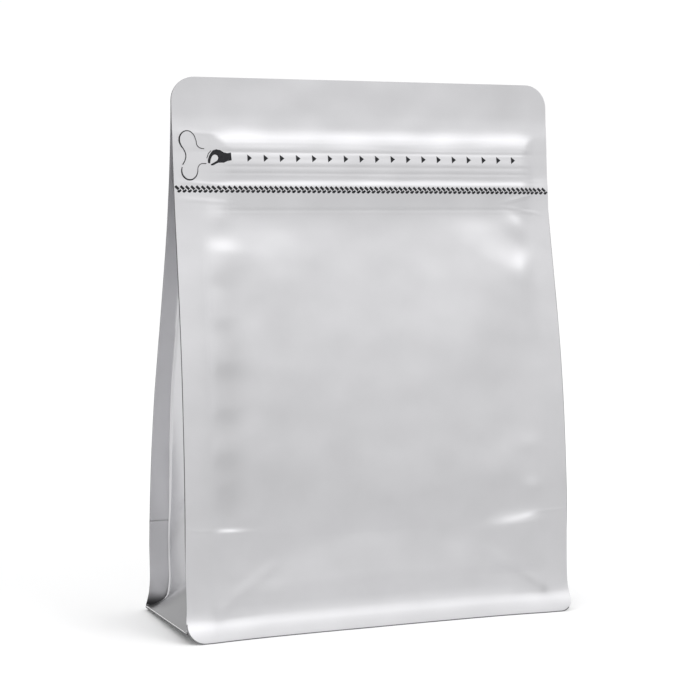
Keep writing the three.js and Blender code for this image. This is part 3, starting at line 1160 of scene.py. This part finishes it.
def print_shapes(name, outlines, centre_z, cuts):
    """Flat shapes of the print, each a filled circle pulled to its outline, ready to lay on the front."""
    deselect_all()
    ob = None
    for outline in outlines:
        bpy.ops.mesh.primitive_circle_add(vertices=len(outline), radius=MM, fill_type="NGON")
        shape = bpy.context.object
        for vertex, (x, z) in zip(shape.data.vertices, outline):
            vertex.co = Vector((x, PRINT_START_Y, z + centre_z)) * MM
        if ob is None:
            ob = shape
            continue
        ob.select_set(True)
        bpy.context.view_layer.objects.active = ob
        bpy.ops.object.join()
        bpy.ops.object.select_all(action="DESELECT")
    ob.name = ob.data.name = name
    bpy.context.view_layer.objects.active = ob
    ob.select_set(True)
    bpy.ops.object.mode_set(mode="EDIT")
    bpy.ops.mesh.select_all(action="SELECT")
    bpy.ops.mesh.remove_doubles(threshold=0.01 * MM)
    bpy.ops.mesh.normals_make_consistent(inside=False)
    bpy.ops.mesh.subdivide(number_cuts=cuts)
    bpy.ops.object.mode_set(mode="OBJECT")
    return ob


def repeat_print(ob, count, step):
    """Repeats a print along the front, each copy one step further on."""
    apply_modifier(
        ob,
        "ARRAY",
        count=count,
        use_relative_offset=False,
        use_constant_offset=True,
        constant_offset_displace=Vector(step) * MM,
    )


class POUCH_OT_tear_line(bpy.types.Operator):
    """Printed line of small slanted strokes along which the top tears off"""

    bl_idname = "pouch.tear_line"
    bl_label = "Tear line"

    def execute(self, context):
        sizes = context.scene.pouch_sizes
        width = in_mm(sizes.panel_width)
        start = TEAR_MARGIN - width / 2
        strokes = [
            stroke_corners((start + x0, z0), (start + x1, z1), weight)
            for x0, z0, x1, z1, weight in TEAR_STROKES
        ]
        ob = print_shapes("tear_line", strokes, in_mm(sizes.tear_height), cuts=2)
        repeat_print(ob, int((width - TEAR_ENDS) / TEAR_PITCH) + 1, (TEAR_PITCH, 0, TEAR_DROP))
        lay_on_front(ob, PRINT_LIFT)
        return {"FINISHED"}


class POUCH_OT_arrow_row(bpy.types.Operator):
    """Row of printed arrow heads along the tear strip"""

    bl_idname = "pouch.arrow_row"
    bl_label = "Arrow row"

    def execute(self, context):
        pitch = in_mm(context.scene.pouch_sizes.arrow_pitch)
        first = ARROW_X - ARROWS_LEFT * pitch
        head = ((first, ARROW_HALF), (first, -ARROW_HALF), (first + ARROW_LENGTH, 0.0))
        ob = print_shapes("arrow_row", (head,), ARROW_Z, cuts=3)
        repeat_print(ob, ARROW_COUNT, (pitch, 0, 0))
        lay_on_front(ob, PRINT_LIFT)
        return {"FINISHED"}


class POUCH_OT_pull_tab(bpy.types.Operator):
    """Die-cut line round the pull tab"""

    bl_idname = "pouch.pull_tab"
    bl_label = "Pull tab"

    def execute(self, context):
        form = PouchForm(context.scene.pouch_sizes)
        deselect_all()
        bpy.ops.curve.primitive_bezier_curve_add()
        ob = bpy.context.object
        ob.name = ob.data.name = "pull_tab_cut"
        ob.data.splines.clear()
        for path in (TAB_CUT_UPPER, TAB_CUT_LOWER):
            spline = ob.data.splines.new("BEZIER")
            spline.bezier_points.add(len(path) - 1)
            for point, (x, z, weight) in zip(spline.bezier_points, path):
                y = float(form.front_y(np.array(x), np.array(z)))
                point.co = Vector((x, y - TAB_CUT_LIFT, z)) * MM
                point.radius = weight
                point.handle_left_type = point.handle_right_type = "AUTO"
        ob.data.dimensions = "3D"
        ob.data.resolution_u = 10
        ob.data.bevel_depth = TAB_CUT_RADIUS * MM
        ob.data.bevel_resolution = 1
        ob.data.use_fill_caps = True
        bpy.ops.object.convert(target="MESH")
        ob = bpy.context.object
        ob.data.materials.append(ink_material())
        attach(ob, BODY)
        return {"FINISHED"}


class POUCH_OT_pinch_sign(bpy.types.Operator):
    """Printed sign of a hand that pinches the tab"""

    bl_idname = "pouch.pinch_sign"
    bl_label = "Pinch sign"

    def execute(self, context):
        hand = [
            (HAND_OUTSIDE[at], HAND_OUTSIDE[at + 1], HAND_INSIDE[at + 1], HAND_INSIDE[at])
            for at in range(len(HAND_OUTSIDE) - 1)
        ]
        finger = [stroke_corners(start, end, FINGER_WIDTH) for start, end in SECOND_FINGER]
        ob = print_shapes("pinch_sign", (*hand, *SLEEVE, *finger), SIGN_Z, cuts=3)
        lay_on_front(ob, SIGN_LIFT)
        return {"FINISHED"}


def shader(name, rebuild):
    """A material of this name, made once, with rebuild filling its node tree round the surface shader."""
    material = bpy.data.materials.get(name)
    if material is None:
        material = bpy.data.materials.new(name)
        material.use_nodes = True
        rebuild(material.node_tree, material.node_tree.nodes["Principled BSDF"])
    return material


def object_noise(tree, scale, detail=2):
    """Noise that sits on the piece's own coordinates."""
    place = tree.nodes.new("ShaderNodeTexCoord")
    pattern = tree.nodes.new("ShaderNodeTexNoise")
    pattern.inputs["Scale"].default_value = scale
    pattern.inputs["Detail"].default_value = detail
    tree.links.new(place.outputs["Object"], pattern.inputs["Vector"])
    return pattern.outputs["Fac"]


def map_range(tree, value, to, over=(0, 1)):
    """Maps a value that goes over one range to another range."""
    mapped = tree.nodes.new("ShaderNodeMapRange")
    mapped.inputs["From Min"].default_value, mapped.inputs["From Max"].default_value = over
    mapped.inputs["To Min"].default_value, mapped.inputs["To Max"].default_value = to
    tree.links.new(value, mapped.inputs["Value"])
    return mapped.outputs["Result"]


def shaded(colour, factor):
    """A colour made darker or paler."""
    return (*[min(1, c * factor) for c in colour], 1)


def mottled(tree, share, dark, pale):
    """A colour that goes from the dark one to the pale one with share."""
    tone = tree.nodes.new("ShaderNodeMixRGB")
    tone.inputs["Color1"].default_value = dark
    tone.inputs["Color2"].default_value = pale
    tree.links.new(share, tone.inputs["Fac"])
    return tone.outputs["Color"]


def film_material():
    """Matte silver foil: metal with a soft, slightly uneven sheen and a fine rolled grain, darkened where a
    vertex attribute paints shade.
    """
    silver = bpy.context.scene.pouch_colours.film

    def rebuild(tree, surface):
        link = tree.links.new
        surface.inputs["Metallic"].default_value = 1.0
        cloud = object_noise(tree, scale=45, detail=4)
        link(map_range(tree, cloud, to=(0.36, 0.44)), surface.inputs["Roughness"])
        bump = tree.nodes.new("ShaderNodeBump")
        bump.inputs["Strength"].default_value = 0.05
        bump.inputs["Distance"].default_value = 0.0001
        link(object_noise(tree, scale=2600), bump.inputs["Height"])
        link(bump.outputs["Normal"], surface.inputs["Normal"])
        # Painted shade: the vertex attribute darkens the base colour towards a near-black silver.
        painted_shade = tree.nodes.new("ShaderNodeAttribute")
        painted_shade.attribute_name = "painted_shade"
        shade_paint = tree.nodes.new("ShaderNodeMixRGB")
        shade_paint.inputs["Color2"].default_value = shaded(silver, 0.1)
        link(painted_shade.outputs["Fac"], shade_paint.inputs["Fac"])
        link(mottled(tree, cloud, shaded(silver, 0.93), shaded(silver, 1.07)), shade_paint.inputs["Color1"])
        link(shade_paint.outputs["Color"], surface.inputs["Base Color"])

    return shader("matte_silver_foil", rebuild)


def ink_material():
    """Black print with a slightly uneven, soft shine."""
    black = bpy.context.scene.pouch_colours.ink

    def rebuild(tree, surface):
        link = tree.links.new
        surface.inputs["Specular IOR Level"].default_value = 0.1
        mottle = object_noise(tree, scale=900)
        link(mottled(tree, mottle, shaded(black, 0.7), shaded(black, 1.5)), surface.inputs["Base Color"])
        link(map_range(tree, mottle, to=(0.4, 0.55)), surface.inputs["Roughness"])

    return shader("black_print", rebuild)


def cut_edge_and_shadow_material():
    """Cut edges of the film, where the layers under the foil show grey; also the dark strips of painted
    shadow in the gaps beside the seals.
    """
    grey = bpy.context.scene.pouch_colours.cut

    def rebuild(tree, surface):
        surface.inputs["Roughness"].default_value = 0.5
        surface.inputs["Metallic"].default_value = 0.4
        tone = mottled(tree, object_noise(tree, scale=500), shaded(grey, 0.8), shaded(grey, 1.25))
        tree.links.new(tone, surface.inputs["Base Color"])

    return shader("film_cut_edge_and_shadow", rebuild)


def pale_edge_and_highlight_material():
    """Pale inner film that shows along a trimmed seal, with a painted highlight on its edge."""
    white = (1, 1, 1)

    def rebuild(tree, surface):
        surface.inputs["Roughness"].default_value = 0.5
        tone = mottled(tree, object_noise(tree, scale=300), shaded(white, 0.7), shaded(white, 0.95))
        tree.links.new(tone, surface.inputs["Base Color"])

    return shader("pale_film_edge_and_highlight", rebuild)


def floor_material():
    """Pale floor whose colour, in the foil's reflections only, is painted greyer with distance and brighter
    towards the left: painted shade and light of the mirrored room.
    """
    colours = bpy.context.scene.pouch_colours

    def rebuild(tree, surface):
        link = tree.links.new
        surface.inputs["Roughness"].default_value = 0.9
        surface.inputs["Specular IOR Level"].default_value = 0.1
        place = tree.nodes.new("ShaderNodeTexCoord")
        axes = tree.nodes.new("ShaderNodeSeparateXYZ")
        link(place.outputs["Object"], axes.inputs["Vector"])
        away = tree.nodes.new("ShaderNodeVectorMath")
        away.operation = "LENGTH"
        link(place.outputs["Object"], away.inputs[0])
        mirrored = tree.nodes.new("ShaderNodeMath")
        mirrored.operation = "MULTIPLY"
        link(map_range(tree, axes.outputs["X"], to=(1.0, 1.67), over=(-0.12, -0.4)), mirrored.inputs[0])
        link(map_range(tree, away.outputs["Value"], to=(0.86, 0.59), over=(0.03, 0.3)), mirrored.inputs[1])
        ray = tree.nodes.new("ShaderNodeLightPath")
        share = tree.nodes.new("ShaderNodeMix")
        share.inputs["A"].default_value = 1.0
        link(ray.outputs["Is Glossy Ray"], share.inputs["Factor"])
        link(mirrored.outputs["Value"], share.inputs["B"])
        tone = mottled(tree, share.outputs["Result"], (0, 0, 0, 1), (*colours.floor, 1))
        link(tone, surface.inputs["Base Color"])

    return shader("pale_floor", rebuild)


class POUCH_OT_studio(bpy.types.Operator):
    """Pale floor, soft light and the camera"""

    bl_idname = "pouch.studio"
    bl_label = "Studio"

    def execute(self, context):
        deselect_all()
        bpy.ops.mesh.primitive_plane_add(size=12)
        floor = context.object
        floor.name = floor.data.name = "floor"
        floor.data.materials.append(floor_material())
        self.softbox("right_softbox", place=(0.6, -0.95, 0.75), aim=(0, 0, 0.05), size=(0.7, 0.5), power=5)
        self.sky(context.scene)
        self.camera(context.scene)
        context.scene.view_settings.view_transform = "Standard"
        return {"FINISHED"}

    def softbox(self, name, place, aim, size, power):
        bpy.ops.object.light_add(type="AREA", location=place)
        lamp = bpy.context.object
        lamp.name = lamp.data.name = name
        lamp.data.shape = "RECTANGLE"
        lamp.data.size, lamp.data.size_y = size
        lamp.data.energy = power
        lamp.visible_glossy = False
        lamp.rotation_euler = (Vector(aim) - Vector(place)).to_track_quat("-Z", "Y").to_euler()

    def sky(self, scene):
        """White to the camera and to the floor, and to the foil a room that is paler above."""
        world = bpy.data.worlds.new("studio_room")
        scene.world = world
        world.use_nodes = True
        world.cycles.sampling_method = "NONE"
        tree = world.node_tree
        link = tree.links.new
        ray = tree.nodes.new("ShaderNodeLightPath")
        white = tree.nodes.new("ShaderNodeBackground")
        white.inputs["Color"].default_value = (1, 1, 1, 1)
        link(map_range(tree, ray.outputs["Is Camera Ray"], to=(1.1, 1.02)), white.inputs["Strength"])
        room = tree.nodes["Background"]
        room.inputs["Color"].default_value = (1, 1, 1, 1)
        link(self.room_tone(tree), room.inputs["Strength"])
        either = tree.nodes.new("ShaderNodeMixShader")
        link(ray.outputs["Is Glossy Ray"], either.inputs["Fac"])
        link(white.outputs["Background"], either.inputs[1])
        link(room.outputs["Background"], either.inputs[2])
        link(either.outputs["Shader"], tree.nodes["World Output"].inputs["Surface"])

    def room_tone(self, tree):
        """How bright the room is in a direction, by how steeply the direction rises from -1 to 1."""
        levels = (
            (-1, 0.47), (0, 1.03), (0.13, 0.94), (0.26, 0.845), (0.38, 0.92), (0.5, 1.3), (0.64, 1.77),
            (0.8, 2.16), (1, 2.44),
        )
        toward = tree.nodes.new("ShaderNodeTexCoord")
        axes = tree.nodes.new("ShaderNodeSeparateXYZ")
        tree.links.new(toward.outputs["Generated"], axes.inputs["Vector"])
        rise = tree.nodes.new("ShaderNodeValToRGB")
        while len(rise.color_ramp.elements) < len(levels):
            rise.color_ramp.elements.new(1)
        for stop, (up, tone) in zip(rise.color_ramp.elements, levels):
            stop.position = (up + 1) / 2
            stop.color = (tone, tone, tone, 1)
        height = map_range(tree, axes.outputs["Z"], to=(0, 1), over=(-1, 1))
        tree.links.new(height, rise.inputs["Fac"])
        return rise.outputs["Color"]

    def camera(self, scene):
        """Stands where the photo's perspective puts it; the lens and the shift are given in pixels."""
        picture, lens, shift, sensor = 700, 1660.7, -41.25, 36
        place = Vector((-0.276446, -0.758449, 0.185950))
        aim = Vector((-0.003610, 0.001300, 0.147909))
        roll = Quaternion((0, 0, 1), math.radians(-0.337))
        bpy.ops.object.camera_add(location=place)
        camera = bpy.context.object
        camera.name = camera.data.name = "photo_camera"
        camera.rotation_euler = ((aim - place).to_track_quat("-Z", "Y") @ roll).to_euler()
        camera.data.sensor_width = sensor
        camera.data.lens = lens / picture * sensor
        camera.data.shift_y = shift / picture
        camera.data.clip_end = 50
        scene.camera = camera


class POUCH_PT_sidebar(bpy.types.Panel):
    """Sizes, colours and steps of the pouch"""

    bl_label = "Flat bottom pouch"
    bl_idname = "POUCH_PT_sidebar"
    bl_space_type = "VIEW_3D"
    bl_region_type = "UI"
    bl_category = "Pouch"

    def draw(self, context):
        for group in (context.scene.pouch_sizes, context.scene.pouch_colours):
            for name in group.__annotations__:
                self.layout.prop(group, name)
        for step in STEPS:
            self.layout.operator(step.bl_idname)


STEPS = (
    POUCH_OT_front_panel,
    POUCH_OT_back_panel,
    POUCH_OT_gussets,
    POUCH_OT_seam_edges,
    POUCH_OT_bottom_panel,
    POUCH_OT_tear_line,
    POUCH_OT_arrow_row,
    POUCH_OT_pull_tab,
    POUCH_OT_pinch_sign,
    POUCH_OT_studio,
)
CLASSES = (PouchSizes, PouchColours, *STEPS, POUCH_PT_sidebar)


def register():
    for cls in CLASSES:
        bpy.utils.register_class(cls)
    bpy.types.Scene.pouch_sizes = PointerProperty(type=PouchSizes)
    bpy.types.Scene.pouch_colours = PointerProperty(type=PouchColours)


def unregister():
    del bpy.types.Scene.pouch_colours
    del bpy.types.Scene.pouch_sizes
    for cls in reversed(CLASSES):
        bpy.utils.unregister_class(cls)


def main():
    register()
    bpy.ops.pouch.front_panel()
    bpy.ops.pouch.back_panel()
    bpy.ops.pouch.gussets()
    bpy.ops.pouch.seam_edges()
    bpy.ops.pouch.bottom_panel()
    bpy.ops.pouch.tear_line()
    bpy.ops.pouch.arrow_row()
    bpy.ops.pouch.pull_tab()
    bpy.ops.pouch.pinch_sign()
    bpy.ops.pouch.studio()


if __name__ == "__main__":
    main()
